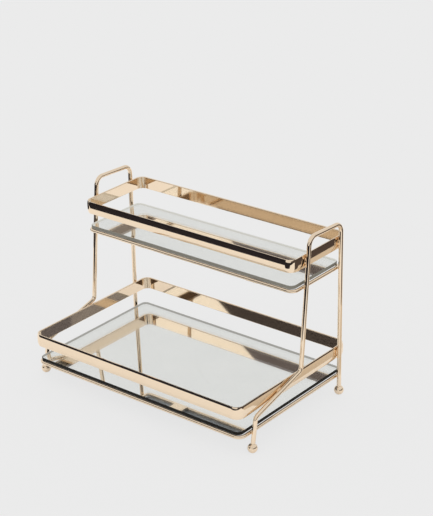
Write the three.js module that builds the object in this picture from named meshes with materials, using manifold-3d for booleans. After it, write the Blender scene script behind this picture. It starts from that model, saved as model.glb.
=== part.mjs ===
// Two-tier countertop rack: a lower and an upper mirrored tray between two bent wire side frames.
// Millimetres, +Z up, +X to the right, +Y to the back. The origin lies on the table, under the middle
// of the lower tray.
import * as THREE from 'three';
import { mergeVertices } from 'three/addons/utils/BufferGeometryUtils.js';
import Module from 'manifold-3d';

// Guard rails: flat strips on edge, bent to rounded rectangles. Outside sizes.
const RAIL_LENGTH = 300;
const LOWER_DEPTH = 194.5;
const UPPER_DEPTH = 99.5;
const RAIL_HEIGHT = 14.5;
const RAIL_THICKNESS = 2.5;
const RAIL_EDGE_DEPTH = 2.5; // how far an oval edge reaches down the outer face
const RAIL_EDGE_WIDTH = 1.8; // and across the thickness, the inner edges are square
const CORNER_RADIUS = 10;
const RAIL_LIFT = 22.5; // from a ring's centre up to the lower edge of its rail

// Wire rings and the side frames' wire.
const RING_WIRE = 4;
const FRAME_WIRE = 5;
const RING_FRONT_INSET = 4; // the ring's centre line behind the front of the rail
const LOWER_RING_BACK_INSET = 8.5; // and in front of the back of the rail
const UPPER_RING_BACK_INSET = 10.5;
const LOWER_RING_HEIGHT = 21.1; // centre of the wire above the table
const TIER_SPACING = 132.3; // from ring to ring

// Mirrors.
const PANE_THICKNESS = 4;
const PANE_CLEARANCE = 0.5; // on either side of the glass, in the rail that it lifts out through
const PANE_OVERHANG = 0.3; // front and back edges of the glass past the ring's centre line
const PANE_ARRIS = 0.4;
const GLASS_LIFT = 0.3; // underside of the glass above the top of the wire

// Straps and bumper pads under the mirrors.
const STRAP_WIDTH = 19;
const STRAP_THICKNESS = 1;
const STRAP_SPACING = 181; // between the middles of the two straps of a tray
const STRAP_END_RADIUS = 2;
const STRAP_END_SETBACK = 0.6; // end of a strap inside the ring's centre line
const PAD_DIAMETER = 10;
const PAD_TAPER = 1; // the top is this much narrower across than the foot
const PAD_END_MARGIN = 16; // from the ring's centre line to the middle of a pad

// Side frames, measured from the trays that they carry.
const FRONT_FOOT_SETBACK = 18.3; // behind the front of the lower tray
const LEG_LEAN = 6.5; // the knee lies this far behind the front foot
const KNEE_DROP = 4.5; // the knee's corner below the lower rail
const SHOULDER_SETBACK = 9.7; // behind the front of the upper tray
const SHOULDER_RISE = 2.1; // the shoulder's corner above the lower rail
const HANDLE_SETBACK_FRONT = 27.1; // behind the front of the upper tray
const HANDLE_SETBACK_BACK = 15.4; // in front of the back of the trays
const HANDLE_RISE_FRONT = 19.1; // middle of the handle's wire above the upper rail
const HANDLE_RISE_BACK = 16.6;
const BACK_FOOT_SETBACK = 19.1; // in front of the back of the trays
const HANDLE_BEND = 10;
const KNEE_BEND = 6;

// Ball feet, each bored for the end of the wire and faced flat underneath.
const FOOT_DIAMETER = 11;
const FOOT_FACE_DIAMETER = 4;
const WIRE_END_ABOVE_MIDDLE = 1; // end of the wire above the middle of the ball

// Fits.
const WELD_GAP = 0.3; // between pieces that touch where they are welded
const SEAT_GAP = 0.3; // between the glass and the pads that carry it
const BORE_CLEARANCE = 0.3; // around and under the wire in a foot
const GLUE_FILM = 0.05; // under a bumper pad
const CUT_MARGIN = 1; // how far a cutting solid reaches past the cut one

// How finely the round shapes are cut.
const WIRE_SIDES = 12;
const BEND_STEPS = 6;
const CORNER_STEPS = 6;
const EDGE_STEPS = 3;
const ARRIS_STEPS = 1;
const BALL_STEPS = 10;
const BALL_SIDES = 20;
const PAD_SIDES = 16;

// Levels and places that follow from the sizes above.
const halfLength = RAIL_LENGTH / 2;
const ringRadius = RING_WIRE / 2;
const wireRadius = FRAME_WIRE / 2;
const sidePlane = halfLength + WELD_GAP + wireRadius;
const strapDrop = Math.sqrt((ringRadius + WELD_GAP) ** 2 - STRAP_END_SETBACK ** 2);
const trayBack = LOWER_DEPTH / 2;
const upperFront = trayBack - UPPER_DEPTH;
const SIDES = [['left', -1], ['right', 1]];
const ENDS = [['front', -1], ['back', 1]];

const TRAYS = [
  {
    name: 'lower',
    depth: LOWER_DEPTH,
    backInset: LOWER_RING_BACK_INSET,
    height: LOWER_RING_HEIGHT,
  },
  {
    name: 'upper',
    depth: UPPER_DEPTH,
    backInset: UPPER_RING_BACK_INSET,
    height: LOWER_RING_HEIGHT + TIER_SPACING,
  },
];
for (const tray of TRAYS) {
  tray.middle = trayBack - tray.depth / 2;
  tray.ringDepth = tray.depth - RING_FRONT_INSET - tray.backInset;
  tray.ringMiddle = tray.middle + (RING_FRONT_INSET - tray.backInset) / 2;
  tray.railBottom = tray.height + RAIL_LIFT;
  tray.railTop = tray.railBottom + RAIL_HEIGHT;
  tray.paneBottom = tray.height + ringRadius + GLASS_LIFT;
  tray.strapTop = tray.height - strapDrop;
}
const [lowerTray, upperTray] = TRAYS;

// A wire bent to rounded corners. Its stations lie close on the bends and at the ends of the straights.
class BentWire extends THREE.Curve {
  constructor(corners, bends, closed = false) {
    super();
    this.stations = [];
    const count = corners.length;
    corners.forEach((corner, i) => {
      if (!closed && (i === 0 || i === count - 1)) {
        const along = i === 0 ? corners[1].clone().sub(corner) : corner.clone().sub(corners[i - 1]);
        this.stations.push({ point: corner.clone(), tangent: along.normalize() });
        return;
      }
      this.addBend(corners[(i + count - 1) % count], corner, corners[(i + 1) % count], bends[i]);
    });
    if (closed) this.stations.push(this.stations[0]);
  }

  addBend(before, corner, after, radius) {
    const into = corner.clone().sub(before).normalize();
    const out = after.clone().sub(corner).normalize();
    const turn = into.angleTo(out);
    const reach = radius * Math.tan(turn / 2);
    const axis = into.clone().cross(out).normalize();
    const start = corner.clone().addScaledVector(into, -reach);
    const inward = axis.clone().cross(into);
    const centre = start.clone().addScaledVector(inward, radius);
    for (let k = 0; k <= BEND_STEPS; k += 1) {
      const angle = (turn * k) / BEND_STEPS;
      const tangent = into.clone().applyAxisAngle(axis, angle);
      const spoke = inward.clone().applyAxisAngle(axis, angle);
      this.stations.push({ point: centre.clone().addScaledVector(spoke, -radius), tangent });
    }
  }

  get steps() {
    return this.stations.length - 1;
  }

  getPointAt(u, target = new THREE.Vector3()) {
    return target.copy(this.stations[Math.round(u * this.steps)].point);
  }

  getTangentAt(u, target = new THREE.Vector3()) {
    return target.copy(this.stations[Math.round(u * this.steps)].tangent);
  }
}

function wireSection(radius) {
  const points = [];
  for (let k = 0; k < WIRE_SIDES; k += 1) {
    const angle = (2 * Math.PI * k) / WIRE_SIDES;
    points.push(new THREE.Vector2(radius * Math.cos(angle), radius * Math.sin(angle)));
  }
  return new THREE.Shape(points);
}

// Draws a rounded rectangle about the origin on a shape.
function roundedRectangle(outline, length, depth, radius) {
  const x = length / 2 - radius;
  const y = depth / 2 - radius;
  const quarter = Math.PI / 2;
  outline.moveTo(x, -y - radius);
  outline.absarc(x, -y, radius, -quarter, 0);
  outline.absarc(x, y, radius, 0, quarter);
  outline.absarc(-x, y, radius, quarter, 2 * quarter);
  outline.absarc(-x, -y, radius, 2 * quarter, 3 * quarter);
  outline.closePath();
  return outline;
}

// A flat piece standing on z = 0. Its upper and lower edges are eased, by so much down and so much across.
function slab(outline, height, down, across, steps) {
  const geometry = new THREE.ExtrudeGeometry(outline, {
    depth: height - 2 * down,
    curveSegments: CORNER_STEPS / 2,
    bevelThickness: down,
    bevelSize: across,
    bevelOffset: -across,
    bevelSegments: steps,
  });
  return geometry.translate(0, 0, down);
}

// A flat piece with square edges, standing on z = 0.
function plate(outline, height) {
  const curveSegments = CORNER_STEPS / 2;
  return new THREE.ExtrudeGeometry(outline, { depth: height, curveSegments, bevelEnabled: false });
}

// Solids for cutting.
const wasm = await Module();
wasm.setup();

function toSolid(geometry) {
  const bare = geometry.clone();
  bare.deleteAttribute('normal');
  bare.deleteAttribute('uv');
  const merged = mergeVertices(bare);
  return new wasm.Manifold(new wasm.Mesh({
    numProp: 3,
    vertProperties: new Float32Array(merged.attributes.position.array),
    triVerts: new Uint32Array(merged.index.array),
  }));
}

function toGeometry(solid) {
  const mesh = solid.getMesh();
  const geometry = new THREE.BufferGeometry();
  geometry.setAttribute('position', new THREE.BufferAttribute(new Float32Array(mesh.vertProperties), 3));
  geometry.setIndex(new THREE.BufferAttribute(new Uint32Array(mesh.triVerts), 1));
  geometry.computeVertexNormals();
  return geometry;
}

function platedSteel() {
  return new THREE.MeshStandardMaterial({ color: 0xe3c39c, metalness: 1, roughness: 0.12 });
}

function mirrorGlass() {
  return new THREE.MeshStandardMaterial({ color: 0xdadedc, metalness: 1, roughness: 0.03 });
}

function softClear() {
  return new THREE.MeshStandardMaterial({ color: 0xd8d8d2, metalness: 0, roughness: 0.5 });
}

const rack = new THREE.Group();

function add(parent, name, geometry, material) {
  const mesh = new THREE.Mesh(geometry, material);
  mesh.name = name;
  parent.add(mesh);
  return mesh;
}

// Side frames. The corners of the wire run from the front foot to the back foot.
const footMiddle = Math.sqrt(FOOT_DIAMETER ** 2 - FOOT_FACE_DIAMETER ** 2) / 2;
const frontFootY = -trayBack + FRONT_FOOT_SETBACK;
const handleFrontY = upperFront + HANDLE_SETBACK_FRONT;
const handleBackY = trayBack - HANDLE_SETBACK_BACK;
const frontFoot = new THREE.Vector3(0, frontFootY, footMiddle);
const knee = new THREE.Vector3(0, frontFootY + LEG_LEAN, lowerTray.railBottom - KNEE_DROP);
const shoulder = new THREE.Vector3(0, upperFront + SHOULDER_SETBACK, lowerTray.railTop + SHOULDER_RISE);
const handleFront = new THREE.Vector3(0, handleFrontY, upperTray.railTop + HANDLE_RISE_FRONT);
const handleBack = new THREE.Vector3(0, handleBackY, upperTray.railTop + HANDLE_RISE_BACK);
const backFoot = new THREE.Vector3(0, trayBack - BACK_FOOT_SETBACK, footMiddle);

// The wire stops inside each ball, a little above its middle and in line with its leg.
function wireEnd(foot, above) {
  const up = above.clone().sub(foot).normalize();
  return foot.clone().addScaledVector(up, WIRE_END_ABOVE_MIDDLE);
}

function sideFrame() {
  const frontEnd = wireEnd(frontFoot, knee);
  const backEnd = wireEnd(backFoot, handleBack);
  const corners = [frontEnd, knee, shoulder, handleFront, handleBack, backEnd];
  const path = new BentWire(corners, [0, KNEE_BEND, KNEE_BEND, HANDLE_BEND, HANDLE_BEND, 0]);
  return new THREE.ExtrudeGeometry(wireSection(wireRadius), { steps: path.steps, extrudePath: path });
}

// A ball standing on its flat face, with the bore for the wire cut along the leg above it.
function ballFoot(foot, above) {
  const radius = FOOT_DIAMETER / 2;
  const faceAngle = Math.asin(FOOT_FACE_DIAMETER / FOOT_DIAMETER);
  const profile = [new THREE.Vector2(0, -footMiddle)];
  for (let k = 0; k <= BALL_STEPS; k += 1) {
    const angle = faceAngle + ((Math.PI - faceAngle) * k) / BALL_STEPS;
    const out = k === BALL_STEPS ? 0 : radius * Math.sin(angle);
    profile.push(new THREE.Vector2(out, -radius * Math.cos(angle)));
  }
  const ball = new THREE.LatheGeometry(profile, BALL_SIDES).rotateX(Math.PI / 2);
  const boreRadius = wireRadius + BORE_CLEARANCE;
  const boreDepth = FOOT_DIAMETER;
  const bore = new THREE.CylinderGeometry(boreRadius, boreRadius, boreDepth, BALL_SIDES);
  bore.translate(0, boreDepth / 2 + WIRE_END_ABOVE_MIDDLE - BORE_CLEARANCE, 0);
  const up = above.clone().sub(foot).normalize();
  bore.applyQuaternion(new THREE.Quaternion().setFromUnitVectors(new THREE.Vector3(0, 1, 0), up));
  return toGeometry(toSolid(ball).subtract(toSolid(bore)));
}

for (const [side, sign] of SIDES) {
  const frame = new THREE.Group();
  frame.position.x = sign * sidePlane;
  rack.add(frame);
  add(frame, `side_frame_${side}`, sideFrame(), platedSteel());
  add(frame, `foot_front_${side}`, ballFoot(frontFoot, knee), platedSteel()).position.copy(frontFoot);
  add(frame, `foot_back_${side}`, ballFoot(backFoot, handleBack), platedSteel()).position.copy(backFoot);
}

// Trays. The rail is built about its own middle, the other pieces about the middle of the ring.
const ringLength = RAIL_LENGTH - RING_WIRE;
const ringCorner = CORNER_RADIUS - ringRadius;

function wireRing(depth) {
  const x = ringLength / 2;
  const y = depth / 2;
  const corners = [[-x, -y], [x, -y], [x, y], [-x, y]].map(([cx, cy]) => new THREE.Vector3(cx, cy, 0));
  const path = new BentWire(corners, corners.map(() => ringCorner), true);
  return new THREE.TubeGeometry(path, path.steps, ringRadius, WIRE_SIDES, true);
}

function guardRail(depth) {
  const outside = roundedRectangle(new THREE.Shape(), RAIL_LENGTH, depth, CORNER_RADIUS);
  const full = slab(outside, RAIL_HEIGHT, RAIL_EDGE_DEPTH, RAIL_EDGE_WIDTH, EDGE_STEPS);
  const insideLength = RAIL_LENGTH - 2 * RAIL_THICKNESS;
  const insideDepth = depth - 2 * RAIL_THICKNESS;
  const insideCorner = CORNER_RADIUS - RAIL_THICKNESS;
  const inside = roundedRectangle(new THREE.Shape(), insideLength, insideDepth, insideCorner);
  const hollow = plate(inside, RAIL_HEIGHT + 2 * CUT_MARGIN).translate(0, 0, -CUT_MARGIN);
  return toGeometry(toSolid(full).subtract(toSolid(hollow)));
}

function mirrorPane(ringDepth) {
  const inset = RAIL_THICKNESS + PANE_CLEARANCE;
  const length = RAIL_LENGTH - 2 * inset;
  const depth = ringDepth + 2 * PANE_OVERHANG;
  const outline = roundedRectangle(new THREE.Shape(), length, depth, CORNER_RADIUS - inset);
  return slab(outline, PANE_THICKNESS, PANE_ARRIS, PANE_ARRIS, ARRIS_STEPS);
}

function strap(ringDepth) {
  const length = ringDepth - 2 * STRAP_END_SETBACK;
  const outline = roundedRectangle(new THREE.Shape(), STRAP_WIDTH, length, STRAP_END_RADIUS);
  return plate(outline, STRAP_THICKNESS);
}

function bumperPad(height) {
  const foot = PAD_DIAMETER / 2;
  const pad = new THREE.CylinderGeometry(foot - PAD_TAPER / 2, foot, height, PAD_SIDES);
  return pad.rotateX(Math.PI / 2).translate(0, 0, height / 2);
}

for (const tray of TRAYS) {
  const { ringDepth } = tray;
  const rail = add(rack, `${tray.name}_rail`, guardRail(tray.depth), platedSteel());
  rail.position.set(0, tray.middle, tray.railBottom);
  const group = new THREE.Group();
  group.position.y = tray.ringMiddle;
  rack.add(group);
  add(group, `${tray.name}_ring`, wireRing(ringDepth), platedSteel()).position.z = tray.height;
  add(group, `${tray.name}_mirror`, mirrorPane(ringDepth), mirrorGlass()).position.z = tray.paneBottom;

  const padBottom = tray.strapTop + GLUE_FILM;
  const padHeight = tray.paneBottom - SEAT_GAP - padBottom;
  const padReach = ringDepth / 2 - PAD_END_MARGIN;
  for (const [side, sign] of SIDES) {
    const x = (sign * STRAP_SPACING) / 2;
    const strapBottom = tray.strapTop - STRAP_THICKNESS;
    add(group, `${tray.name}_strap_${side}`, strap(ringDepth), platedSteel()).position.set(x, 0, strapBottom);
    for (const [end, towards] of ENDS) {
      const pad = add(group, `${tray.name}_pad_${end}_${side}`, bumperPad(padHeight), softClear());
      pad.position.set(x, towards * padReach, padBottom);
    }
  }
}

export default rack;
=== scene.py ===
# %% [markdown]
# # A two-tier countertop rack
# The object is a vanity rack: two bent wire side frames with ball feet and handle loops carry two mirrored
# trays, and each tray has a wire ring below its glass and a flat guard rail above it. All the metal is gold
# plated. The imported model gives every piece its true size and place, in metres, with +Z up. This lesson
# dresses that model: it builds finer wires, strips and panes over the plain solids, and gives each one the
# finish of the real thing.

# %% Load the frame
import math

import bmesh
import bpy
from mathutils import Matrix, Vector


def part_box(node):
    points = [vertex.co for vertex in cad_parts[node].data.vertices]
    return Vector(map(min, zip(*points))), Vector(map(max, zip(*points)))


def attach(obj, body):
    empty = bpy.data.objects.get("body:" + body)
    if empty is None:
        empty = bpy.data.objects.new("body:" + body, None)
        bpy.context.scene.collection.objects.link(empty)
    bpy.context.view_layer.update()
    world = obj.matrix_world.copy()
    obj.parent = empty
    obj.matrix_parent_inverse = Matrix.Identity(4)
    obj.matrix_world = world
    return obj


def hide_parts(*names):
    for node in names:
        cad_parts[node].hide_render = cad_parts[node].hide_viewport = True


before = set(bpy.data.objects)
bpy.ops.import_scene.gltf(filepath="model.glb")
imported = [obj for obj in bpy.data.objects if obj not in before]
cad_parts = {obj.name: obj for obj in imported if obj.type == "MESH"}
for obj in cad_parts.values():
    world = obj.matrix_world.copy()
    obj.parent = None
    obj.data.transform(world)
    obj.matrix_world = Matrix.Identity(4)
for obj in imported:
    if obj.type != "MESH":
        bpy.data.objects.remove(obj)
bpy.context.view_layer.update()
scene = bpy.context.scene

# %% [markdown]
# ## The camera
# The photograph looks down on the rack from the front right with a long lens, and it is tilted a little to
# one side. A camera can be aimed by hand, with a Track To constraint, or by writing its axes down. The
# axes are used here, because the tilt is then one more turn about the line of sight. The lens counts on a
# 36 mm sensor along the long side of a 433 x 516 picture.

# %% Place the camera
VIEW_AZIMUTH = math.radians(40.02)
VIEW_ELEVATION = math.radians(23.95)
VIEW_TILT = math.radians(-1.87)
EYE = Vector((1.0424, -1.1872, 0.8561))
LENS_MM = 109.0
SENSOR_MM = 36.0
CLIP_NEAR, CLIP_FAR = 0.05, 50.0

level = math.cos(VIEW_ELEVATION)
backward = Vector((
    math.sin(VIEW_AZIMUTH) * level,
    -math.cos(VIEW_AZIMUTH) * level,
    math.sin(VIEW_ELEVATION),
))
rightward = Vector((math.cos(VIEW_AZIMUTH), math.sin(VIEW_AZIMUTH), 0))
upward = backward.cross(rightward)
aim = Matrix((rightward, upward, backward)).transposed().to_4x4()

camera = bpy.data.objects.new("camera", bpy.data.cameras.new("camera"))
scene.collection.objects.link(camera)
camera.data.lens = LENS_MM
camera.data.sensor_width = SENSOR_MM
camera.data.clip_start = CLIP_NEAR
camera.data.clip_end = CLIP_FAR
camera.matrix_world = Matrix.Translation(EYE) @ aim @ Matrix.Rotation(VIEW_TILT, 4, "Z")
scene.camera = camera
scene.view_settings.view_transform = "Standard"
print("camera", round(EYE.length, 3), "m from the origin")

# %% [markdown]
# ## Colours and nodes
# Colours are easiest to note as sRGB hex values, as a paint program shows them, but Blender's sockets hold
# linear light, so one function turns the first into the second. Materials are trees of nodes. One small
# helper adds a node, sets its properties, and fills its inputs with values or with links from other nodes.


# %% Helpers for colours and nodes
def linear(hex_colour):
    """An sRGB hex colour as the linear red, green, blue and alpha that a socket holds."""
    channels = [int(hex_colour[i:i + 2], 16) / 255 for i in (1, 3, 5)]
    light = [c / 12.92 if c <= 0.04045 else ((c + 0.055) / 1.055) ** 2.4 for c in channels]
    return light + [1.0]


def add_node(tree, kind, inputs=None, **settings):
    """Adds a node, sets its properties, and fills its inputs with values or links."""
    node = tree.nodes.new(kind)
    for name, value in settings.items():
        setattr(node, name, value)
    for socket, value in (inputs or {}).items():
        if isinstance(value, bpy.types.NodeSocket):
            tree.links.new(value, node.inputs[socket])
        else:
            node.inputs[socket].default_value = value
    return node


def start_material(name):
    """A new material with its node tree and its Principled shader."""
    material = bpy.data.materials.new(name)
    material.use_nodes = True
    return material, material.node_tree, material.node_tree.nodes["Principled BSDF"]


print("pale grey in linear light:", [round(c, 3) for c in linear("#EBEBEB")])

# %% [markdown]
# ## The studio's light
# Polished metal shows whatever stands around it, so the room matters more than the lamps. The light here is
# even and white and comes from all sides, which a world background gives without any lamp. Wherever the
# camera or a reflection looks at the world, it is the pale grey of a paper backdrop instead.

# %% World light
PALE = "#EBEBEB"
LIGHT_STRENGTH = 1.0


def shown_rays(tree):
    """1 for rays from the camera, and for those that metal or glass sends on."""
    rays = add_node(tree, "ShaderNodeLightPath")
    glossy = rays.outputs["Is Glossy Ray"]
    through = rays.outputs["Is Transmission Ray"]
    bent = add_node(tree, "ShaderNodeMath", {0: glossy, 1: through}, operation="ADD", use_clamp=True)
    seen = {0: bent.outputs[0], 1: rays.outputs["Is Camera Ray"]}
    return add_node(tree, "ShaderNodeMath", seen, operation="ADD", use_clamp=True).outputs[0]


world = bpy.data.worlds.new("white_studio")
scene.world = world
world.use_nodes = True
sky = world.node_tree
even_light = sky.nodes["Background"]
even_light.inputs["Color"].default_value = linear("#FFFFFF")
even_light.inputs["Strength"].default_value = LIGHT_STRENGTH
pale_backdrop = add_node(sky, "ShaderNodeBackground", {"Color": linear(PALE), "Strength": 1.0})
choice = {0: shown_rays(sky), 1: even_light.outputs[0], 2: pale_backdrop.outputs[0]}
either = add_node(sky, "ShaderNodeMixShader", choice)
sky.links.new(either.outputs[0], sky.nodes["World Output"].inputs["Surface"])
print("white light of strength", LIGHT_STRENGTH, "and a backdrop of", PALE)

# %% [markdown]
# ## The paper floor
# The rack stands on a large sheet of matt white paper. Its real shading is mixed with its even colour. To
# the camera it is nearly all even, with a faint shadow under the rack. In the metal it is mostly the real
# shading, so the ball feet darken towards the table, as they do on a real sheet.

# %% Paper floor
FLOOR_REACH = 6.0
SHADOW_SHARE = 0.1  # how much of the floor's real shading the camera sees
MIRRORED_SHADOW_SHARE = 0.85  # the same, where metal and glass mirror the floor
PAPER_GLOW = 2.38  # strength of the even colour there, so that open paper is white in the metal


def stage_sheet(name, corners, material):
    """A flat sheet of the stage, from its four corners."""
    mesh = bpy.data.meshes.new(name)
    mesh.from_pydata(corners, [], [(0, 1, 2, 3)])
    mesh.materials.append(material)
    sheet = bpy.data.objects.new(name, mesh)
    scene.collection.objects.link(sheet)
    return sheet


def level_corners(left, front, right, back, height):
    """Corners of a level rectangle, anticlockwise from above."""
    return [(left, front, height), (right, front, height), (right, back, height), (left, back, height)]


def studio_paper():
    """Matt white paper. Its own shading keeps the shadow, softened towards its even colour."""
    material, tree, shader = start_material("matt_studio_paper")
    shader.inputs["Base Color"].default_value = linear(PALE)
    shader.inputs["Roughness"].default_value = 1.0
    shader.inputs["Specular IOR Level"].default_value = 0.0
    rays = add_node(tree, "ShaderNodeLightPath")
    dimmer = {0: rays.outputs["Is Camera Ray"], 1: 1.0 - PAPER_GLOW, 2: PAPER_GLOW}
    glow = add_node(tree, "ShaderNodeMath", dimmer, operation="MULTIPLY_ADD")
    even = add_node(tree, "ShaderNodeEmission", {"Color": linear(PALE), "Strength": glow.outputs[0]})
    gain = MIRRORED_SHADOW_SHARE - SHADOW_SHARE
    direct = {0: rays.outputs["Is Camera Ray"], 1: gain, 2: 1.0 - MIRRORED_SHADOW_SHARE}
    even_share = add_node(tree, "ShaderNodeMath", direct, operation="MULTIPLY_ADD")
    soften = {0: shown_rays(tree), 1: even_share.outputs[0]}
    share = add_node(tree, "ShaderNodeMath", soften, operation="MULTIPLY")
    blend = {0: share.outputs[0], 1: shader.outputs[0], 2: even.outputs[0]}
    mixed = add_node(tree, "ShaderNodeMixShader", blend)
    tree.links.new(mixed.outputs[0], tree.nodes["Material Output"].inputs["Surface"])
    return material


stage_floor = level_corners(-FLOOR_REACH, -FLOOR_REACH, FLOOR_REACH, FLOOR_REACH, 0)
stage_sheet("paper_floor", stage_floor, studio_paper())
print("paper floor,", 2 * FLOOR_REACH, "m across")

# %% [markdown]
# ## Cards around the paper
# Beyond the paper the studio is dark, and that darkness draws the black bands and lines on the gold. Matt
# cards stand for it as painted reflections, with one card of painted shadow on the paper and one glowing
# panel of painted highlight. They are hidden from the camera and cast no shadow, so they are seen only in the
# metal and the glass. A picture of a room on the world could do the same, but flat cards are easy to move.

# %% Card materials
# the glow of the panel that paints a highlight in metal and glass and lights nothing
PANEL_GLOW = 1.15


def matt_card(name, hex_colour):
    """A matt card with no shine at all, seen only in metal and glass as a painted reflection."""
    material, _, shader = start_material(name)
    shader.inputs["Base Color"].default_value = linear(hex_colour)
    shader.inputs["Roughness"].default_value = 1.0
    shader.inputs["Specular IOR Level"].default_value = 0.0
    return material


def make_highlight_glow():
    """A glow seen only in metal and glass, which lights nothing: a painted highlight."""
    material, _, shader = start_material("painted_highlight_glow")
    shader.inputs["Base Color"].default_value = linear("#000000")
    shader.inputs["Emission Color"].default_value = linear("#FFFFFF")
    shader.inputs["Emission Strength"].default_value = PANEL_GLOW
    return material


# matt cards whose colours are painted reflections of the dark studio, and one painted shadow on the paper
painted_black_reflection = matt_card("painted_black_reflection_card", "#2C2A30")
painted_brown_reflection = matt_card("painted_brown_reflection_card", "#534A48")
painted_grey_reflection = matt_card("painted_grey_reflection_card", "#524E50")
painted_warm_reflection = matt_card("painted_warm_grey_reflection_card", "#655C58")
painted_middle_reflection = matt_card("painted_middle_grey_reflection_card", "#74727A")
painted_pale_reflection = matt_card("painted_light_grey_reflection_card", "#9A989C")
shaded_paper = matt_card("shaded_paper", "#DCD2C4")
highlight_glow = make_highlight_glow()
print("made", highlight_glow.name, "and cards from", painted_black_reflection.name, "to", shaded_paper.name)

# %% [markdown]
# ## Dark floor beyond the paper
# The paper ends a third of a metre in front of the rack's middle, and the rails show that edge as a sharp
# line. Cards lie half a millimetre above the large floor and are seen only in the metal: dark ones in front,
# at the left and at the right are painted reflections of a dark floor, and a paler one is a painted shadow
# where the paper gets less light. The floor could be cut into pieces instead, but a card can be moved without
# touching its neighbours.

# %% Cards on the floor
CARD_LIFT = 0.0005  # cards lie just above the paper, or before the wall behind them
CARD_REACH = 3.0
PAPER_FRONT, PAPER_LEFT, PAPER_RIGHT = -0.336, -0.55, 0.39  # edges of the paper, as the rails show them
PAPER_SLANT = -0.0275  # y of the front edge changes by this much for each metre to the right
LEFT_FLOOR_BACK = 0.336
RIGHT_FLOOR_FRONT = 0.0  # the shaded part of the paper starts there too
SHADE_LEFT, SHADE_BACK = 0.2, 0.6  # the side of the paper that gets less light

slant = PAPER_SLANT * CARD_REACH
front_floor = [
    (-CARD_REACH, -CARD_REACH, CARD_LIFT),
    (CARD_REACH, -CARD_REACH, CARD_LIFT),
    (CARD_REACH, PAPER_FRONT + slant, CARD_LIFT),
    (-CARD_REACH, PAPER_FRONT - slant, CARD_LIFT),
]
left_floor = level_corners(-CARD_REACH, PAPER_FRONT - slant, PAPER_LEFT, LEFT_FLOOR_BACK, CARD_LIFT)
right_floor = level_corners(PAPER_RIGHT, RIGHT_FLOOR_FRONT, CARD_REACH, CARD_REACH, CARD_LIFT)
shaded_side = level_corners(SHADE_LEFT, RIGHT_FLOOR_FRONT, PAPER_RIGHT, SHADE_BACK, CARD_LIFT)


def stand_card(name, corners, material):
    """A card that only metal and glass can see: a painted reflection, which casts no shadow and lights
    nothing.
    """
    card = stage_sheet(name, corners, material)
    card.visible_camera = False
    card.visible_diffuse = False
    card.visible_shadow = False


# dark cards that paint the reflection of a dark floor, and a paler one that paints the shadow on the paper
stand_card("dark_floor_front", front_floor, painted_black_reflection)
stand_card("dark_floor_left", left_floor, painted_black_reflection)
stand_card("dark_floor_right", right_floor, painted_brown_reflection)
stand_card("shaded_paper_right", shaded_side, shaded_paper)
print("the paper reaches", -PAPER_FRONT, "m to the front and", PAPER_RIGHT, "m to the right")

# %% [markdown]
# ## Painted reflections: dark walls, bands and a glowing panel
# A ray that meets a back rail goes down to the mirror and up again, so the back rails show what hangs high on
# the walls, and the round wires show the whole room. Low dark cards paint the reflection of walls at the
# front left and at the right. Bands hang about a metre up on both, a dark spot hangs behind the camera, and a
# glowing panel at the front left paints a highlight and lights nothing. All but the panel are plain
# rectangles, so two small functions give their corners.

# %% Cards on the walls
WALL_DISTANCE = 1.6
FRONT_WALL_RIGHT, FRONT_WALL_HEIGHT = -0.5, 0.75
RIGHT_WALL_HEIGHT = 0.45
RIGHT_BAND_LOW, RIGHT_BAND_HIGH = 1.145, 1.28  # a band high on the right wall, darker in front
RIGHT_BAND_START, RIGHT_BAND_STEP, RIGHT_BAND_END = 1.2, 1.65, 2.05
BAND_LOW, BAND_HIGH, BAND_TOP = 0.98, 1.11, 1.22  # a dark band across the front wall, and a grey one on it
BAND_RIGHT = 0.0
PANEL_HIGH = 1.25
# the panel glows as a painted highlight, seen only in metal and glass
PANEL_EDGE_LOW, PANEL_EDGE_HIGH = -1.5, -1.302  # the right edge of the lit panel leans
CAMERA_LEFT, CAMERA_RIGHT, CAMERA_LOW, CAMERA_HIGH = 1.1, 1.5, 0.9, 1.25  # the spot behind the camera


def on_front_wall(left, right, low, high):
    """Corners of a rectangle on the front wall."""
    y = -WALL_DISTANCE
    return [(left, y, low), (right, y, low), (right, y, high), (left, y, high)]


def on_right_wall(front, back, low, high):
    """Corners of a rectangle on the right wall."""
    x = WALL_DISTANCE
    return [(x, front, low), (x, back, low), (x, back, high), (x, front, high)]


front_wall = on_front_wall(-CARD_REACH, FRONT_WALL_RIGHT, CARD_LIFT, FRONT_WALL_HEIGHT)
right_wall = on_right_wall(-WALL_DISTANCE, CARD_REACH, CARD_LIFT, RIGHT_WALL_HEIGHT)
right_band_front = on_right_wall(RIGHT_BAND_START, RIGHT_BAND_STEP, RIGHT_BAND_LOW, RIGHT_BAND_HIGH)
right_band_back = on_right_wall(RIGHT_BAND_STEP, RIGHT_BAND_END, RIGHT_BAND_LOW, RIGHT_BAND_HIGH)
camera_spot = on_front_wall(CAMERA_LEFT, CAMERA_RIGHT, CAMERA_LOW, CAMERA_HIGH)
panel_y = CARD_LIFT - WALL_DISTANCE
panel = [
    (-CARD_REACH, panel_y, BAND_LOW),
    (PANEL_EDGE_LOW, panel_y, BAND_LOW),
    (PANEL_EDGE_HIGH, panel_y, PANEL_HIGH),
    (-CARD_REACH, panel_y, PANEL_HIGH),
]
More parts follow.
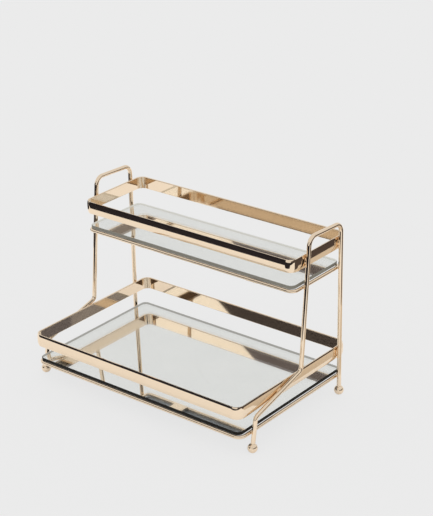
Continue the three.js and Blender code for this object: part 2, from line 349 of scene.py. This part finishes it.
# painted reflections of dark walls, bands and a dark spot, and the painted highlight of the glowing panel
stand_card("dark_wall_front", front_wall, painted_black_reflection)
stand_card("dark_wall_right", right_wall, painted_brown_reflection)
stand_card("band_right_front", right_band_front, painted_middle_reflection)
stand_card("band_right_back", right_band_back, painted_pale_reflection)
stand_card("dark_band_front", on_front_wall(PANEL_EDGE_LOW, BAND_RIGHT, BAND_LOW, BAND_HIGH), painted_grey_reflection)
stand_card("grey_band_front", on_front_wall(PANEL_EDGE_LOW, BAND_RIGHT, BAND_HIGH, BAND_TOP), painted_middle_reflection)
stand_card("camera_spot", camera_spot, painted_warm_reflection)
stand_card("painted_highlight_panel", panel, highlight_glow)
print("walls", WALL_DISTANCE, "m away at the front and the right")

# %% [markdown]
# ## Gold plating
# The wire and the strip are steel, polished and electroplated with a pale gold. The base metal's polish
# shows through the plating, so the surface is nearly a mirror. What tells it from a perfect one is small:
# the plating is a little thicker and warmer in places, and the polishing wheel leaves faint lines along
# the length. A metal takes its whole colour from Base Color, with Metallic at 1. The pieces carry a map of
# their surface in metres, round the section and along the length, which the lines follow.

# %% Gold plating material
MM = 0.001  # a millimetre in metres
SURFACE_MAP = "surface_metres"
POLISH_SPACING = 0.4 * MM  # real lines lie about 0.05 mm apart, drawn coarser so that they show
POLISH_LENGTH = 60 * MM
PLATING_PATCH = 30 * MM


def gold_plating():
    """Pale gold electroplate on polished steel: a warm mirror with faint lines along its length."""
    material, tree, shader = start_material("gold_plate_on_polished_steel")
    place = add_node(tree, "ShaderNodeUVMap", uv_map=SURFACE_MAP)
    stretch = {"Vector": place.outputs["UV"], "Scale": (1 / POLISH_SPACING, 1 / POLISH_LENGTH, 1)}
    lengthwise = add_node(tree, "ShaderNodeMapping", stretch)
    line_grain = {"Vector": lengthwise.outputs["Vector"], "Scale": 1.0, "Detail": 3.0, "Roughness": 0.6}
    lines = add_node(tree, "ShaderNodeTexNoise", line_grain)
    where = add_node(tree, "ShaderNodeTexCoord")
    patch_grain = {"Vector": where.outputs["Object"], "Scale": 1 / PLATING_PATCH, "Detail": 2.0}
    patches = add_node(tree, "ShaderNodeTexNoise", patch_grain)
    tones = {0: patches.outputs["Fac"], 6: linear("#F1DDC3"), 7: linear("#EDD7BC")}
    tone = add_node(tree, "ShaderNodeMix", tones, data_type="RGBA")  # inputs 6 and 7 are its two colours
    tree.links.new(tone.outputs[2], shader.inputs["Base Color"])  # and output 2 is their mix
    haze = {"Value": lines.outputs["Fac"], "To Min": 0.012, "To Max": 0.035}
    roughness = add_node(tree, "ShaderNodeMapRange", haze)
    tree.links.new(roughness.outputs["Result"], shader.inputs["Roughness"])
    shader.inputs["Metallic"].default_value = 1.0
    return material


GOLD = gold_plating()
print("made", GOLD.name)

# %% [markdown]
# ## Mirror glass
# Each mirror is a plate of 4 mm float glass, silvered on its back. The plate is built as it is made: light
# goes in through the clear top, bends, meets the silver 4 mm down and comes out again. At the far edges the
# eye then sees a thin dark line, the ground edge through the glass, and no paint could put that line in the
# right place from every side.

# %% Glass and silver materials
HAND_HAZE_PATCH = 35 * MM
GLASS_IOR = 1.52


def float_glass():
    """The clear top of the plate, with the faintest green and a trace of haze where it was wiped."""
    material, tree, shader = start_material("clear_float_glass")
    where = add_node(tree, "ShaderNodeTexCoord")
    wiped = {"Vector": where.outputs["Object"], "Scale": 1 / HAND_HAZE_PATCH, "Detail": 4.0}
    haze = add_node(tree, "ShaderNodeTexNoise", wiped)
    tones = {0: haze.outputs["Fac"], 6: linear("#FBFDFC"), 7: linear("#F8FBFA")}
    tone = add_node(tree, "ShaderNodeMix", tones, data_type="RGBA")
    tree.links.new(tone.outputs[2], shader.inputs["Base Color"])
    dulled = {"Value": haze.outputs["Fac"], "To Min": 0.0, "To Max": 0.02}
    roughness = add_node(tree, "ShaderNodeMapRange", dulled)
    tree.links.new(roughness.outputs["Result"], shader.inputs["Roughness"])
    shader.inputs["Transmission Weight"].default_value = 1.0
    shader.inputs["IOR"].default_value = GLASS_IOR
    return material


def silver_coat():
    """Silver laid on the back of the glass: a neutral mirror, a little uneven in its tone."""
    material, tree, shader = start_material("chemical_silver_coat")
    where = add_node(tree, "ShaderNodeTexCoord")
    laid = {"Vector": where.outputs["Object"], "Scale": 1 / HAND_HAZE_PATCH, "Detail": 2.0}
    cloud = add_node(tree, "ShaderNodeTexNoise", laid)
    tones = {0: cloud.outputs["Fac"], 6: linear("#F4F3F1"), 7: linear("#EFEEEC")}
    tone = add_node(tree, "ShaderNodeMix", tones, data_type="RGBA")
    tree.links.new(tone.outputs[2], shader.inputs["Base Color"])
    shader.inputs["Metallic"].default_value = 1.0
    shader.inputs["Roughness"].default_value = 0.0
    return material


CLEAR = float_glass()
SILVER = silver_coat()
print("made", CLEAR.name, "and", SILVER.name)

# %% [markdown]
# ## Ground edges and backing paint
# The cut edge of a plate is ground, so it has no mirror shine. It is dark, and on the lower plate it is
# painted darker than on the upper one, as painted shade, though both are the same glass. Seen from inside the
# glass, each edge has a painted glow. Under the silver there is only slate grey paint, flowed on and baked,
# with a soft ripple.

# %% Edge and paint materials
GRIND_GRIT = 0.6 * MM  # the real grit is about 0.1 mm, drawn coarser so that it shows
PAINT_RIPPLE = 2.5 * MM
RELIEF_DEPTH = 0.05 * MM
PAINT_IOR = 1.5


def ground_edge(name, dark, light, inside):
    """The ground edge of a plate, with painted shade in its colour and a painted glow.

    Seen from inside, through the top of the plate, the edge glows with a painted light and looks paler.
    """
    material, tree, shader = start_material(name)
    where = add_node(tree, "ShaderNodeTexCoord")
    ground = {"Vector": where.outputs["Object"], "Scale": 1 / GRIND_GRIT, "Detail": 2.0}
    grit = add_node(tree, "ShaderNodeTexNoise", ground)
    tones = {0: grit.outputs["Fac"], 6: linear(dark), 7: linear(light)}
    tone = add_node(tree, "ShaderNodeMix", tones, data_type="RGBA")
    tree.links.new(tone.outputs[2], shader.inputs["Base Color"])
    # painted light: the back of each edge face glows in the colour inside, though it is no lamp
    faces = add_node(tree, "ShaderNodeNewGeometry")
    tree.links.new(faces.outputs["Backfacing"], shader.inputs["Emission Strength"])
    shader.inputs["Emission Color"].default_value = linear(inside)
    worn = {"Value": grit.outputs["Fac"], "To Min": 0.35, "To Max": 0.5}
    roughness = add_node(tree, "ShaderNodeMapRange", worn)
    tree.links.new(roughness.outputs["Result"], shader.inputs["Roughness"])
    relief = {"Height": grit.outputs["Fac"], "Strength": 0.15, "Distance": RELIEF_DEPTH}
    bump = add_node(tree, "ShaderNodeBump", relief)
    tree.links.new(bump.outputs["Normal"], shader.inputs["Normal"])
    shader.inputs["IOR"].default_value = GLASS_IOR
    shader.inputs["Specular IOR Level"].default_value = 0.1
    return material


def backing_paint():
    """Slate grey mirror backing paint, with a soft ripple in its sheen."""
    material, tree, shader = start_material("slate_backing_paint")
    where = add_node(tree, "ShaderNodeTexCoord")
    flowed = {"Vector": where.outputs["Object"], "Scale": 1 / PAINT_RIPPLE, "Detail": 3.0}
    ripple = add_node(tree, "ShaderNodeTexNoise", flowed)
    tones = {0: ripple.outputs["Fac"], 6: linear("#ABB0B6"), 7: linear("#B7BCC2")}
    tone = add_node(tree, "ShaderNodeMix", tones, data_type="RGBA")
    tree.links.new(tone.outputs[2], shader.inputs["Base Color"])
    relief = {"Height": ripple.outputs["Fac"], "Strength": 0.2, "Distance": RELIEF_DEPTH}
    bump = add_node(tree, "ShaderNodeBump", relief)
    tree.links.new(bump.outputs["Normal"], shader.inputs["Normal"])
    shader.inputs["Roughness"].default_value = 0.5
    shader.inputs["IOR"].default_value = PAINT_IOR
    return material


GROUND = {
    # painted shade: the lower edge is painted darker than the upper one; the last colour is the painted glow
    # inside
    "lower": ground_edge("ground_edge_painted_darker_lower", "#14120E", "#201D18", "#97958F"),
    "upper": ground_edge("ground_edge_painted_lighter_upper", "#7E7B72", "#8A877D", "#C3C2BC"),
}
PAINT = backing_paint()
print("made", len(GROUND), "edges and", PAINT.name)

# %% [markdown]
# ## Clear bumpers
# The glass rests on soft clear bumpers, the self-adhesive kind that is cast from polyurethane. They are
# milky rather than glassy, because of dust and tiny bubbles, so the material lets half the light through
# and scatters the rest.

# %% Bumper material
BUBBLE_SPACING = 0.5 * MM
POLYURETHANE_IOR = 1.49


def clear_bumper():
    """Cast soft polyurethane: clear, a little milky, and soft in its shine."""
    material, tree, shader = start_material("cast_clear_polyurethane")
    where = add_node(tree, "ShaderNodeTexCoord")
    cast = {"Vector": where.outputs["Object"], "Scale": 1 / BUBBLE_SPACING, "Detail": 1.0}
    bubbles = add_node(tree, "ShaderNodeTexNoise", cast)
    tones = {0: bubbles.outputs["Fac"], 6: linear("#E9E8E2"), 7: linear("#D6D5CE")}
    tone = add_node(tree, "ShaderNodeMix", tones, data_type="RGBA")
    tree.links.new(tone.outputs[2], shader.inputs["Base Color"])
    softness = {"Value": bubbles.outputs["Fac"], "To Min": 0.25, "To Max": 0.4}
    roughness = add_node(tree, "ShaderNodeMapRange", softness)
    tree.links.new(roughness.outputs["Result"], shader.inputs["Roughness"])
    shader.inputs["Transmission Weight"].default_value = 0.5
    shader.inputs["IOR"].default_value = POLYURETHANE_IOR
    return material


BUMPER = clear_bumper()
print("made", BUMPER.name)

# %% [markdown]
# ## Paths
# A bent wire, a strip, a turned ball and the rim of a pane have one thing in common: a section is carried
# along a path. A path is kept as stations, each with an origin and the two directions that the section is
# drawn in. Two small functions give the usual paths: straight runs joined by round bends, and a full turn
# about an axis. Sections are lists of points, with their round stretches made by one function for arcs.

# %% Paths and sections
BEND_STEP = math.radians(6)


def bent_path(corners, bends, closed):
    """Points along straight runs and round bends, in a plane, each with the direction to its right."""
    corners = [Vector(c) for c in corners]
    path = []
    for i, corner in enumerate(corners):
        inner = closed or 0 < i < len(corners) - 1
        before = corners[i - 1] if inner or i else corner
        after = corners[(i + 1) % len(corners)] if inner or not i else corner
        into = (corner - before if inner or i else after - corner).normalized()
        out = (after - corner if inner or not i else corner - before).normalized()
        turn = math.atan2(into.x * out.y - into.y * out.x, into.dot(out))
        radius = bends[i] if inner else 0.0
        start = corner - into * radius * math.tan(abs(turn) / 2)
        side = math.copysign(1.0, turn)
        centre = start + Vector((-into.y, into.x)) * side * radius
        steps = max(1, math.ceil(abs(turn) / BEND_STEP)) if radius else 0
        for k in range(steps + 1):
            angle = turn * k / steps if steps else 0.0
            ahead = Matrix.Rotation(angle, 2) @ into
            to_right = Vector((ahead.y, -ahead.x))
            path.append((centre + to_right * side * radius, to_right))
    return path


def rounded_rectangle(low, high, radius):
    """Path round a rectangle with rounded corners, anticlockwise, so that right is outward."""
    corners = [(low.x, low.y), (high.x, low.y), (high.x, high.y), (low.x, high.y)]
    return bent_path(corners, [radius] * 4, closed=True)


def level_stations(path, height):
    """Stations along a level path: sections stand upright, with their first axis outward."""
    return [(Vector((p.x, p.y, height)), Vector((r.x, r.y, 0)), Vector((0, 0, 1))) for p, r in path]


def turned_stations(centre, axis, sides):
    """Stations for turning a section about an axis."""
    axis = axis.normalized()
    spoke = axis.orthogonal().normalized()
    turns = [Matrix.Rotation(math.tau * k / sides, 3, axis) for k in range(sides)]
    return [(centre, turn @ spoke, axis) for turn in turns]


def arc(middle, radius, start_degrees, end_degrees, steps):
    """Points of a section along an arc."""
    start, end = math.radians(start_degrees), math.radians(end_degrees)
    angles = [start + (end - start) * k / steps for k in range(steps + 1)]
    return [(middle[0] + radius * math.cos(a), middle[1] + radius * math.sin(a)) for a in angles]


print("a bend of 90 degrees takes", math.ceil(math.radians(90) / BEND_STEP), "steps")

# %% [markdown]
# ## Skins
# One function makes every piece. It puts a copy of the section at each station and stretches a skin between
# the copies. A curve with a bevel would make the wires too, but not the strips' rounded edges or the map of
# the surface. A second function dresses a piece: it gives it its materials, keeps its flat faces flat with
# weighted normals, and sets it on the body that it moves with.

# %% Skins and dressing
CREASE = math.radians(38)
MERGE_DISTANCE = 1e-7


def lengths(points, closed):
    """How far along each point lies, with the full way round at the end of a closed line."""
    ends = points[1:] + points[:1] if closed else points[1:]
    far = [0.0]
    for here, there in zip(points, ends):
        far.append(far[-1] + (Vector(there) - Vector(here)).length)
    return far


def skin(name, stations, section, closed_path=True, closed_section=True, finishes=None):
    """A mesh object that stretches over copies of a section at the stations.

    finishes gives a material number for each side of the section, and then for its first and last cap.
    """
    maker = bmesh.new()
    surface = maker.loops.layers.uv.new(SURFACE_MAP)
    rows = [[maker.verts.new(o + across * a + up * b) for a, b in section] for o, across, up in stations]
    along = lengths([s[0] + s[1] * section[0][0] for s in stations], closed_path)
    around = lengths([Vector(p) for p in section], closed_section)
    sides = len(around) - 1
    for i in range(len(along) - 1):
        for j in range(sides):
            corners = [(i, j), (i + 1, j), (i + 1, j + 1), (i, j + 1)]
            verts = [rows[m % len(rows)][n % len(section)] for m, n in corners]
            face = maker.faces.new(verts)
            face.material_index = finishes[j] if finishes else 0
            for loop, (m, n) in zip(face.loops, corners):
                loop[surface].uv = (around[n], along[m])
    caps = []
    if not closed_path:
        caps = [rows[0], rows[-1]]
    elif not closed_section and section[0][0] and section[-1][0]:
        caps = [[row[0] for row in rows], [row[-1] for row in rows]]
    for number, rim in enumerate(caps):
        face = maker.faces.new(rim)
        face.material_index = finishes[sides + number] if finishes else 0
        for loop in face.loops:
            loop[surface].uv = (loop.vert.co.x, loop.vert.co.y)
    bmesh.ops.remove_doubles(maker, verts=maker.verts, dist=MERGE_DISTANCE)
    bmesh.ops.recalc_face_normals(maker, faces=maker.faces)
    for face in maker.faces:
        face.smooth = True
    mesh = bpy.data.meshes.new(name)
    maker.to_mesh(mesh)
    maker.free()
    mesh.set_sharp_from_angle(angle=CREASE)
    piece = bpy.data.objects.new(name, mesh)
    scene.collection.objects.link(piece)
    return piece


def dress(piece, body, slot, materials, *nodes):
    """Gives a piece its finish, sets it on its body and lets it stand for its nodes."""
    for material in materials:
        piece.data.materials.append(material)
    evened = piece.modifiers.new("flat_faces_stay_flat", "WEIGHTED_NORMAL")
    evened.keep_sharp = True
    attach(piece, body)
    if nodes:
        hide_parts(*nodes)


print("edges sharper than", round(math.degrees(CREASE)), "degrees stay sharp")

# %% [markdown]
# ## The trays' wire rings
# Each tray starts from a ring of 4 mm wire, bent round four corners and closed with a butt weld. The ring's
# box gives its outer size, so its centre line lies half a wire inside that box.

# %% Wire rings
RING_WIRE = 4 * MM
RING_CORNER = 8 * MM  # to the middle of the wire
WIRE_SIDES = 32
TRAYS = ("lower", "upper")


def wire_section(diameter):
    """The round section of a wire."""
    return arc((0, 0), diameter / 2, 0, 360, WIRE_SIDES)[:-1]


ring_low, ring_high, ring_height = {}, {}, {}
for tray in TRAYS:
    low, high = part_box(f"{tray}_ring")
    inset = Vector((RING_WIRE / 2, RING_WIRE / 2, 0))
    ring_low[tray], ring_high[tray] = low + inset, high - inset
    ring_height[tray] = (low.z + high.z) / 2
    path = rounded_rectangle(ring_low[tray], ring_high[tray], RING_CORNER)
    ring = skin(f"{tray}_ring_wire", level_stations(path, ring_height[tray]), wire_section(RING_WIRE))
    dress(ring, "rack", "gold_plating", [GOLD], f"{tray}_ring")
    print(ring.name, len(ring.data.polygons), "faces")

# %% [markdown]
# ## The guard rails
# A guard rail is a rolled strip, 14.5 mm high, set on edge and bent to a rounded rectangle. Its inner face is
# flat, and its outer face is flat in the middle and curves in towards both edges. That matters: the flat
# part mirrors the paper in front, and the curved part looks a little higher, past the edge of the paper,
# so it draws a black line along the top of the gold.

# %% Guard rails
RAIL_THICKNESS = 2.5 * MM
RAIL_CURVE_DEPTH = 5.5 * MM  # how far the curve reaches down the outer face
RAIL_CURVE_RADIUS = 16 * MM
RAIL_INNER_EASE = 0.7 * MM
RAIL_CORNER = 10 * MM
EDGE_STEPS = 6


def strip_section(height):
    """A rolled strip on edge. The middle of its outer face lies at 0 and its lower edge at 0."""
    turn = math.degrees(math.asin(RAIL_CURVE_DEPTH / RAIL_CURVE_RADIUS))
    low, high = RAIL_CURVE_DEPTH, height - RAIL_CURVE_DEPTH
    inner = RAIL_INNER_EASE - RAIL_THICKNESS
    section = arc((-RAIL_CURVE_RADIUS, low), RAIL_CURVE_RADIUS, -turn, 0, EDGE_STEPS)
    section += arc((-RAIL_CURVE_RADIUS, high), RAIL_CURVE_RADIUS, 0, turn, EDGE_STEPS)
    section += arc((inner, height - RAIL_INNER_EASE), RAIL_INNER_EASE, 90, 180, EDGE_STEPS)
    section += arc((inner, RAIL_INNER_EASE), RAIL_INNER_EASE, 180, 270, EDGE_STEPS)
    return section


for tray in TRAYS:
    low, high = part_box(f"{tray}_rail")
    stations = level_stations(rounded_rectangle(low, high, RAIL_CORNER), low.z)
    rail = skin(f"{tray}_rail_strip", stations, strip_section(high.z - low.z))
    dress(rail, "rack", "gold_plating", [GOLD], f"{tray}_rail")
    print(rail.name, len(rail.data.polygons), "faces")

# %% [markdown]
# ## The mirrors
# Each mirror is a plate with rounded corners and a small arris, the ground-off edge that keeps glass from
# cutting. Its rim is a section carried round the outline, and two caps close it: clear glass above and
# silver below. The coat of paint is a piece of its own under the silver, thinner than a fingernail.

# %% Mirrors
PANE_CORNER = 7 * MM
PANE_ARRIS = 0.4 * MM
PAINT_COAT = 0.1 * MM
PAINT_GAP = 0.02 * MM
CLEAR_TOP, GROUND_RIM, SILVER_BACK = 0, 1, 2  # the places of the plate's three materials

for tray in TRAYS:
    low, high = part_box(f"{tray}_mirror")
    top, back = high.z - low.z, PAINT_COAT + PAINT_GAP
    outline = level_stations(rounded_rectangle(low, high, PANE_CORNER), low.z)
    rim = [(-PANE_ARRIS, top), (0, top - PANE_ARRIS), (0, back + PANE_ARRIS), (-PANE_ARRIS, back)]
    looks = [GROUND_RIM, GROUND_RIM, GROUND_RIM, CLEAR_TOP, SILVER_BACK]
    plate = skin(f"{tray}_mirror_plate", outline, rim, closed_section=False, finishes=looks)
    dress(plate, f"{tray}_glass", "mirror_glass", [CLEAR, GROUND[tray], SILVER], f"{tray}_mirror")
    coat_rim = [(-PANE_ARRIS, PAINT_COAT), (-PANE_ARRIS, 0)]
    coat = skin(f"{tray}_mirror_paint", outline, coat_rim, closed_section=False)
    dress(coat, f"{tray}_glass", "mirror_glass", [PAINT])
    print(plate.name, round((high.x - low.x) / MM, 1), "x", round((high.y - low.y) / MM, 1), "mm")

# %% [markdown]
# ## The side frames
# One wire of 5 mm makes a whole side. It leaves the front foot, leans back up to a knee, runs along the
# lower rail to a shoulder, climbs to the handle, and drops to the back foot. Six corners and the bend
# radii say all of that. The ends lie inside the ball feet, whose boxes give their places.

# %% The corners of a side frame
KNEE_BEND = 6 * MM
HANDLE_BEND = 10 * MM
LEG_LEAN = 6.5 * MM
KNEE_DROP = 4.5 * MM  # the knee's corner below the lower rail
SHOULDER_SETBACK = 9.7 * MM  # behind the front of the upper rail
SHOULDER_RISE = 2.1 * MM  # above the lower rail
HANDLE_SETBACK_FRONT = 27.1 * MM
HANDLE_SETBACK_BACK = 15.4 * MM
HANDLE_RISE_FRONT = 19.1 * MM  # above the upper rail
HANDLE_RISE_BACK = 16.6 * MM
BALL_DIAMETER = 11 * MM
BALL_FACE = 4 * MM
ENDS = ("front", "back")


def middle_of(node):
    """The middle of a node's box."""
    low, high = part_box(node)
    return (low + high) / 2


lower_rail_low, lower_rail_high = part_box("lower_rail")
upper_rail_low, upper_rail_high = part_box("upper_rail")
ball_height = math.sqrt(BALL_DIAMETER ** 2 - BALL_FACE ** 2) / 2
foot_y = {end: middle_of(f"foot_{end}_left").y for end in ENDS}
front_foot = Vector((foot_y["front"], ball_height))
knee = Vector((foot_y["front"] + LEG_LEAN, lower_rail_low.z - KNEE_DROP))
shoulder = Vector((upper_rail_low.y + SHOULDER_SETBACK, lower_rail_high.z + SHOULDER_RISE))
handle_front = Vector((upper_rail_low.y + HANDLE_SETBACK_FRONT, upper_rail_high.z + HANDLE_RISE_FRONT))
handle_back = Vector((upper_rail_high.y - HANDLE_SETBACK_BACK, upper_rail_high.z + HANDLE_RISE_BACK))
back_foot = Vector((foot_y["back"], ball_height))
frame_corners = [front_foot, knee, shoulder, handle_front, handle_back, back_foot]
frame_bends = [0, KNEE_BEND, KNEE_BEND, HANDLE_BEND, HANDLE_BEND, 0]
print("the handle's front corner lies", round(handle_front.y / MM, 1), "mm up")

# %% [markdown]
# ## Bending the wire
# The corners and bends become one path in the plane of a side, and the round section is carried along it
# from foot to foot. Left and right are the same bend in two planes. A mirrored copy would do as well, but
# each frame stands for its own node, so each is built as a piece of its own.

# %% Side frames
FRAME_WIRE = 5 * MM
SIDES = ("left", "right")

frame_path = bent_path(frame_corners, frame_bends, closed=False)
side_plane = {side: middle_of(f"side_frame_{side}").x for side in SIDES}
for side, x in side_plane.items():
    stations = [(Vector((x, p.x, p.y)), Vector((0, r.x, r.y)), Vector((1, 0, 0))) for p, r in frame_path]
    wire = skin(f"side_frame_{side}_wire", stations, wire_section(FRAME_WIRE), closed_path=False)
    dress(wire, "rack", "gold_plating", [GOLD], f"side_frame_{side}")
    print(wire.name, round(lengths([s[0] for s in stations], False)[-1] / MM), "mm of wire")

# %% [markdown]
# ## The ball feet
# A foot is a turned ball, bored for the end of its leg and soldered to it, so a small round collar of solder
# stands where the wire goes in. The section is turned about the leg, which leans, and the points that
# would go below the table are pushed up to it. That makes the small flat that the ball stands on.

# %% Ball feet
BALL_STEPS = 20
COLLAR = 0.9 * MM  # radius of the solder's hollow curve
legs = {"front": (front_foot, knee), "back": (back_foot, handle_back)}


def ball_section():
    """Half the outline of a ball with a solder collar, from its lowest point up to the wire."""
    ball, wire = BALL_DIAMETER / 2, FRAME_WIRE / 2
    out = wire + COLLAR
    rise = math.sqrt((ball + COLLAR) ** 2 - out ** 2)
    meets = math.degrees(math.atan2(rise, out))
    round_part = arc((0, 0), ball, -90, meets, BALL_STEPS)
    collar = arc((out, rise), COLLAR, meets + 180, 180, EDGE_STEPS)
    return [(0, -ball)] + round_part[1:] + collar[1:] + [(0, rise)]


for end, (foot, above) in legs.items():
    lean = Vector((0, above.x - foot.x, above.y - foot.y))
    for side, x in side_plane.items():
        stations = turned_stations(Vector((x, foot.x, foot.y)), lean, WIRE_SIDES)
        ball = skin(f"foot_{end}_{side}_ball", stations, ball_section(), closed_section=False)
        for vertex in ball.data.vertices:
            vertex.co.z = max(vertex.co.z, 0.0)
        dress(ball, "rack", "gold_plating", [GOLD], f"foot_{end}_{side}")
print("made", len(legs) * len(side_plane), "ball feet")

# %% [markdown]
# ## Straps and bumpers under the glass
# Two flat straps cross under each tray from the front wire to the back wire, and each carries two bumpers
# that the glass rests on. Each strap is a thin plate with eased edges. A bumper is a turned dome with a
# rounded shoulder.

# %% Straps and bumpers
STRAP_CORNER = 2 * MM
STRAP_EASE = 0.25 * MM
PAD_SHOULDER = 1.2 * MM
PAD_TAPER = 0.5 * MM  # the shoulder lies this much inside the foot


def pad_section(radius, height):
    """Half the outline of a bumper, from the middle of its foot to the middle of its top."""
    narrow = radius - PAD_TAPER - PAD_SHOULDER
    rounded = arc((narrow, height - PAD_SHOULDER), PAD_SHOULDER, 0, 90, EDGE_STEPS)
    return [(0, 0), (radius, 0)] + rounded + [(0, height)]


strap_count = pad_count = 0
for tray in TRAYS:
    for side in SIDES:
        low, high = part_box(f"{tray}_strap_{side}")
        thickness = high.z - low.z
        stations = level_stations(rounded_rectangle(low, high, STRAP_CORNER), low.z)
        eased = [(-STRAP_EASE, thickness), (0, thickness - STRAP_EASE), (0, STRAP_EASE), (-STRAP_EASE, 0)]
        strap = skin(f"{tray}_strap_{side}_strip", stations, eased, closed_section=False)
        dress(strap, "rack", "gold_plating", [GOLD], f"{tray}_strap_{side}")
        strap_count += 1
        for end in ENDS:
            name = f"{tray}_pad_{end}_{side}"
            low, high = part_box(name)
            under = Vector((middle_of(name).x, middle_of(name).y, low.z))
            stations = turned_stations(under, Vector((0, 0, 1)), WIRE_SIDES)
            section = pad_section((high.x - low.x) / 2, high.z - low.z)
            pad = skin(f"{name}_dome", stations, section, closed_section=False)
            dress(pad, "rack", "bumper", [BUMPER], name)
            pad_count += 1
print("made", strap_count, "straps and", pad_count, "bumpers")

# %% [markdown]
# ## Welds
# Nothing on the rack is screwed. Where a side frame crosses a rail or a ring, the two are welded before
# plating, and the plating runs over the joint. A small hollow fillet fills the wedge between a wire and
# the flat it touches. Its section is two arcs, each touching the flat and the wire, and it shrinks nearly
# to a point at both ends. Two wires that cross touch at a spot, so there the weld is a small waisted plug.

# %% Weld shapes
FILLET_RADIUS = 0.5 * MM
FILLET_STATIONS = 9
FILLET_END = 0.25  # of a step, left off at each end so that the last section keeps a size
FILLET_SUNK = 0.2 * MM
PLUG_RADIUS = 1.5 * MM
PLUG_WAIST = 1.1 * MM
PLUG_REACH = 0.8 * MM
PLUG_STEPS = (-1, -0.5, 0, 0.5, 1)  # from one wire to the other, with the waist at 0


def fillet_section(wire_radius, gap):
    """Section of a weld between a flat at 0 and a wire above it."""
    centre_gap = wire_radius + gap - FILLET_RADIUS
    out = math.sqrt((wire_radius + FILLET_RADIUS) ** 2 - centre_gap ** 2)
    meets = math.degrees(math.atan2(centre_gap, -out))
    right = arc((out, FILLET_RADIUS), FILLET_RADIUS, 270, meets, EDGE_STEPS)
    left = [(-a, b) for a, b in reversed(right)]
    return [(-out, -FILLET_SUNK), (out, -FILLET_SUNK)] + right + left


def end_fillet_section(wire_radius, gap, setback):
    """The same on one side only, where the flat ends a little inside the middle of the wire."""
    whole = fillet_section(wire_radius, gap)
    right = [point for point in whole if point[0] > setback]
    return [(setback, -FILLET_SUNK)] + right + [(setback, gap + wire_radius)]


def weld_fillet(name, spot, along, outward, length, section):
    """A fillet that runs along a wire and gets small at both ends."""
    sideways = outward.cross(along)
    stations = []
    for k in range(FILLET_STATIONS):
        t = math.cos(math.pi * (k + FILLET_END) / (FILLET_STATIONS - 1 + 2 * FILLET_END))
        size = math.sqrt(1 - t * t)
        stations.append((spot + along * t * length / 2, sideways * size, outward * size))
    return skin(name, stations, section, closed_path=False)


def weld_plug(name, spot, axis, gap):
    """A waisted plug between two wires that cross."""
    flare = PLUG_RADIUS - PLUG_WAIST
    waisted = [(PLUG_WAIST + flare * s * s, gap / 2 + s * (gap / 2 + PLUG_REACH)) for s in PLUG_STEPS]
    section = [(0, waisted[0][1])] + waisted + [(0, waisted[-1][1])]
    return skin(name, turned_stations(spot, axis, WIRE_SIDES // 2), section, closed_section=False)


touching = fillet_section(FRAME_WIRE / 2, 0)
print("under a wire that touches, a fillet is", round(2 * touching[1][0] / MM, 1), "mm wide")

# %% [markdown]
# ## Welding the side frames
# Each side frame is welded to both rails and both rings, at the front and at the back. A weld sits where a
# straight run of the wire crosses the middle of the rail or the ring, so its place is worked out from the
# run and follows if a corner is moved.

# %% Welds on the side frames
RAIL_WELD_LENGTH = 8 * MM
runs = {
    "leg": (front_foot, knee),
    "slope": (knee, shoulder),
    "post": (shoulder, handle_front),
    "back": (back_foot, handle_back),
}
rail_welds = [("slope", "lower"), ("back", "lower"), ("post", "upper"), ("back", "upper")]
ring_welds = [("leg", "lower"), ("back", "lower"), ("post", "upper"), ("back", "upper")]


def on_run(start, end, height):
    """The point of a straight run at a height, as y and z."""
    return start + (end - start) * ((height - start.y) / (end.y - start.y))


for side, x in side_plane.items():
    outward = Vector((math.copysign(1.0, x), 0, 0))
    flat = math.copysign(lower_rail_high.x, x)
    weld_gap = abs(x) - FRAME_WIRE / 2 - lower_rail_high.x
    section = fillet_section(FRAME_WIRE / 2, weld_gap)
    for run, tray in rail_welds:
        start, end = runs[run]
        spot = Vector((flat, *on_run(start, end, middle_of(f"{tray}_rail").z)))
        along = Vector((0, *(end - start).normalized()))
        name = f"weld_{tray}_rail_{run}_{side}"
        weld = weld_fillet(name, spot, along, outward, RAIL_WELD_LENGTH, section)
        dress(weld, "rack", "gold_plating", [GOLD])
    for run, tray in ring_welds:
        spot = Vector((flat, *on_run(*runs[run], ring_height[tray])))
        plug = weld_plug(f"weld_{tray}_ring_{run}_{side}", spot, outward, weld_gap)
        dress(plug, "rack", "gold_plating", [GOLD])
print("made", len(SIDES) * (len(rail_welds) + len(ring_welds)), "welds on the side frames")

# %% [markdown]
# ## Welding the straps
# A strap runs from the front wire of its ring to the back wire and ends a little inside the middle of each.
# Only the inner half of a fillet fits there, so the section is cut off at the end of the strap.

# %% Welds on the straps
STRAP_WELD_LENGTH = 15 * MM

for tray in TRAYS:
    for side in SIDES:
        low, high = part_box(f"{tray}_strap_{side}")
        gap = ring_height[tray] - RING_WIRE / 2 - high.z
        section = end_fillet_section(RING_WIRE / 2, gap, low.y - ring_low[tray].y)
        for end, y, inward in (("front", ring_low[tray].y, 1), ("back", ring_high[tray].y, -1)):
            spot = Vector(((low.x + high.x) / 2, y, high.z))
            along = Vector((inward, 0, 0))
            name = f"weld_{tray}_strap_{end}_{side}"
            weld = weld_fillet(name, spot, along, Vector((0, 0, 1)), STRAP_WELD_LENGTH, section)
            dress(weld, "rack", "gold_plating", [GOLD])
print("made", len(TRAYS) * len(SIDES) * len(ENDS), "welds on the straps")

# %% [markdown]
# ## Finish
# The dressed rack has to keep the size of the imported model.

# %% Finish
bpy.context.view_layer.update()
